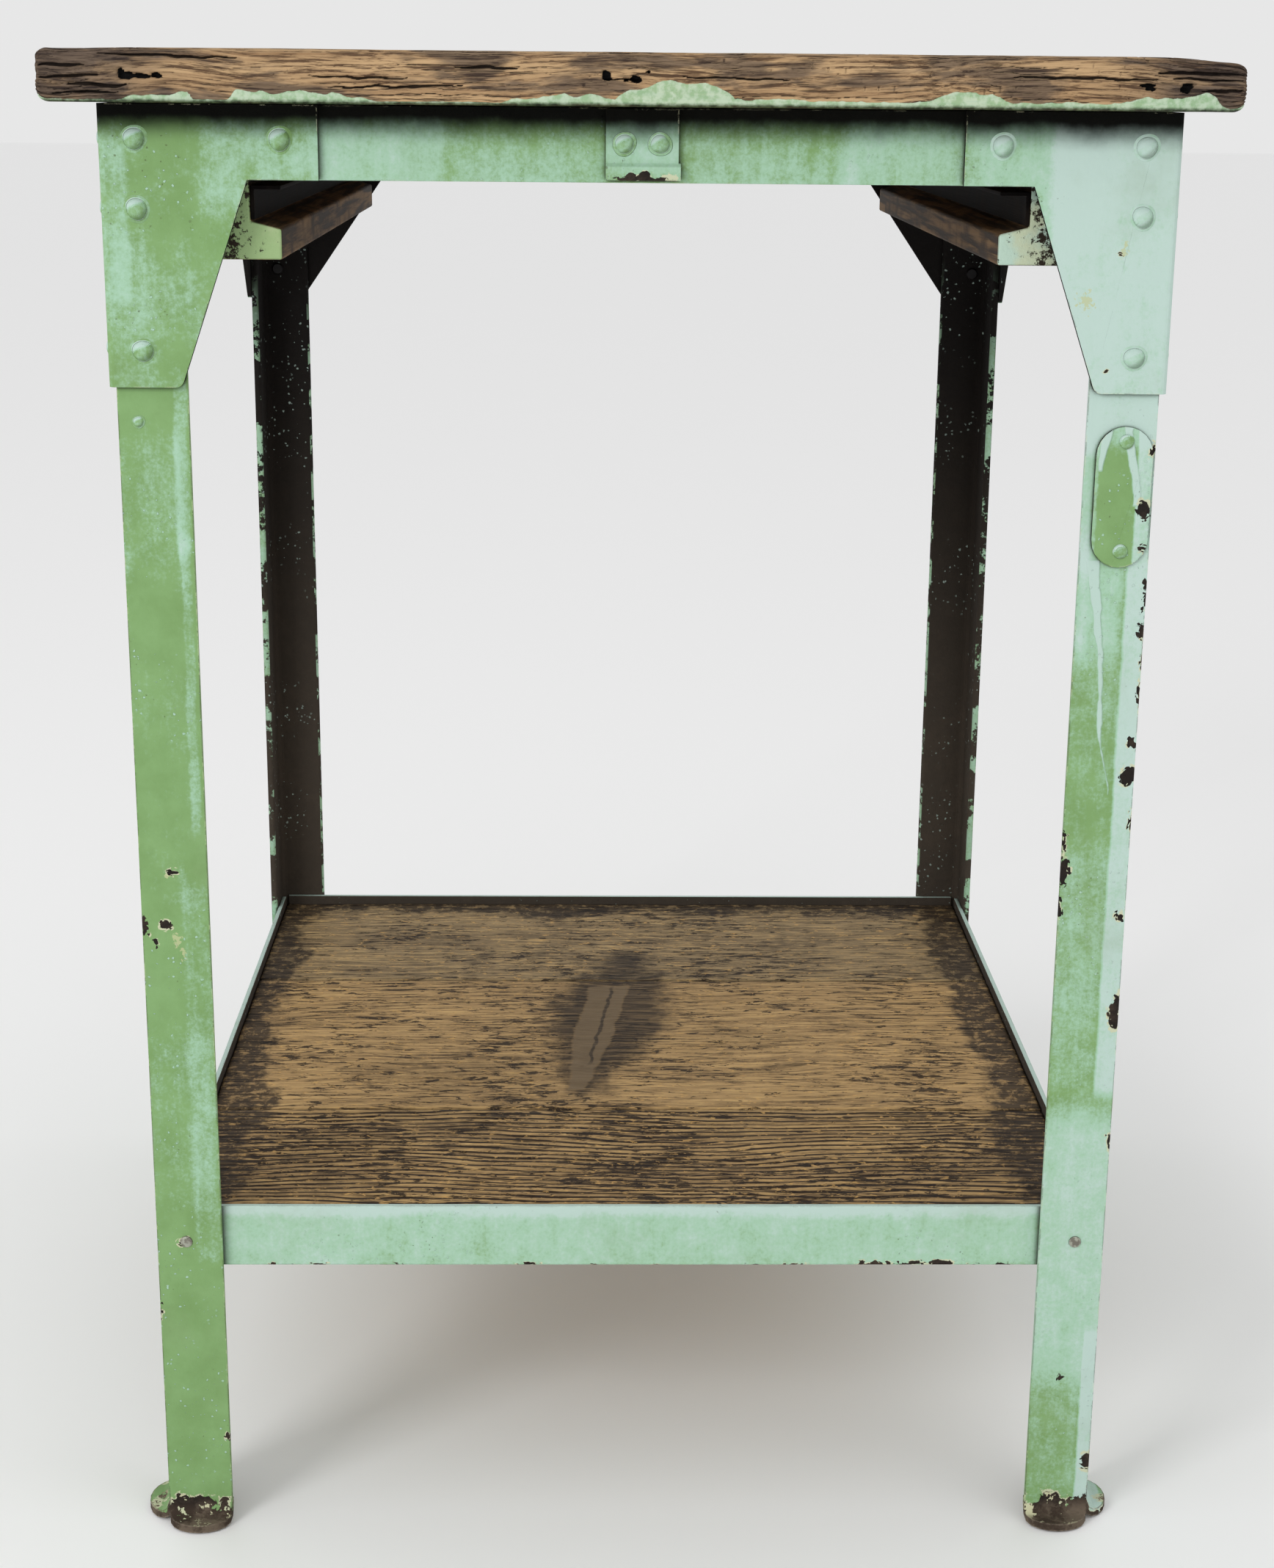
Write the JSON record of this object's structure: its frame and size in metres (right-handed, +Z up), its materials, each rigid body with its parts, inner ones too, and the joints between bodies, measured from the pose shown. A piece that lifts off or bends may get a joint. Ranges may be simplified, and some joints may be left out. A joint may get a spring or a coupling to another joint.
{
  "type": "potting bench",
  "caption": "Potting bench: green-painted riveted angle-steel frame with folded corner plates, timber top and low shelf, and an open drawer bay with runners",
  "frame": {"origin": "on the floor, under the middle of the bench", "axes": "+Z up, +Y towards the back of the bench, +X to the right seen from the front, where the tag plate is"},
  "size_m": [0.619, 0.6472, 0.86],
  "materials": {
    "painted_steel": "chipped apple green and pale mint paint over rusted steel",
    "worktop_timber": "weathered bare timber with paint along the lower front edge",
    "shelf_timber": "stained and worn softwood boards",
    "runner_timber": "dark worn timber, painted on the front ends",
    "guide_steel": "dulled bare steel strip"
  },
  "bodies": {
    "root": {"bracket_rivet_left": "painted_steel", "bracket_rivet_right": "painted_steel", "centre_bracket": "painted_steel", "corner_plate_front_left": "painted_steel", "corner_plate_front_right": "painted_steel", "corner_plate_rear_left": "painted_steel", "corner_plate_rear_right": "painted_steel", "corner_rivet_front_left_1": "painted_steel", "corner_rivet_front_left_2": "painted_steel", "corner_rivet_front_left_3": "painted_steel", "corner_rivet_front_left_4": "painted_steel", "corner_rivet_front_right_1": "painted_steel", "corner_rivet_front_right_2": "painted_steel", "corner_rivet_front_right_3": "painted_steel", "corner_rivet_front_right_4": "painted_steel", "corner_rivet_rear_left_1": "painted_steel", "corner_rivet_rear_left_2": "painted_steel", "corner_rivet_rear_left_3": "painted_steel", "corner_rivet_rear_left_4": "painted_steel", "corner_rivet_rear_right_1": "painted_steel", "corner_rivet_rear_right_2": "painted_steel", "corner_rivet_rear_right_3": "painted_steel", "corner_rivet_rear_right_4": "painted_steel", "drawer_guide_left": "guide_steel", "drawer_guide_right": "guide_steel", "drawer_runner_left": "runner_timber", "drawer_runner_right": "runner_timber", "leg_front_left": "painted_steel", "leg_front_right": "painted_steel", "leg_rear_left": "painted_steel", "leg_rear_right": "painted_steel", "leg_rivet_front_left": "painted_steel", "shelf_board_front": "shelf_timber", "shelf_board_middle": "shelf_timber", "shelf_board_rear": "shelf_timber", "shelf_bolt_front_left_face": "painted_steel", "shelf_bolt_front_left_side": "painted_steel", "shelf_bolt_front_right_face": "painted_steel", "shelf_bolt_front_right_side": "painted_steel", "shelf_bolt_rear_left_face": "painted_steel", "shelf_bolt_rear_left_side": "painted_steel", "shelf_bolt_rear_right_face": "painted_steel", "shelf_bolt_rear_right_side": "painted_steel", "shelf_rail_front": "painted_steel", "shelf_rail_left": "painted_steel", "shelf_rail_rear": "painted_steel", "shelf_rail_right": "painted_steel", "tag_plate": "painted_steel", "tag_rivet_1": "painted_steel", "tag_rivet_2": "painted_steel", "top_board_1": "worktop_timber", "top_board_2": "worktop_timber", "top_board_3": "worktop_timber", "top_board_4": "worktop_timber", "top_rail_front": "painted_steel", "top_rail_left": "painted_steel", "top_rail_rear": "painted_steel", "top_rail_right": "painted_steel"}
  },
  "joints": []
}
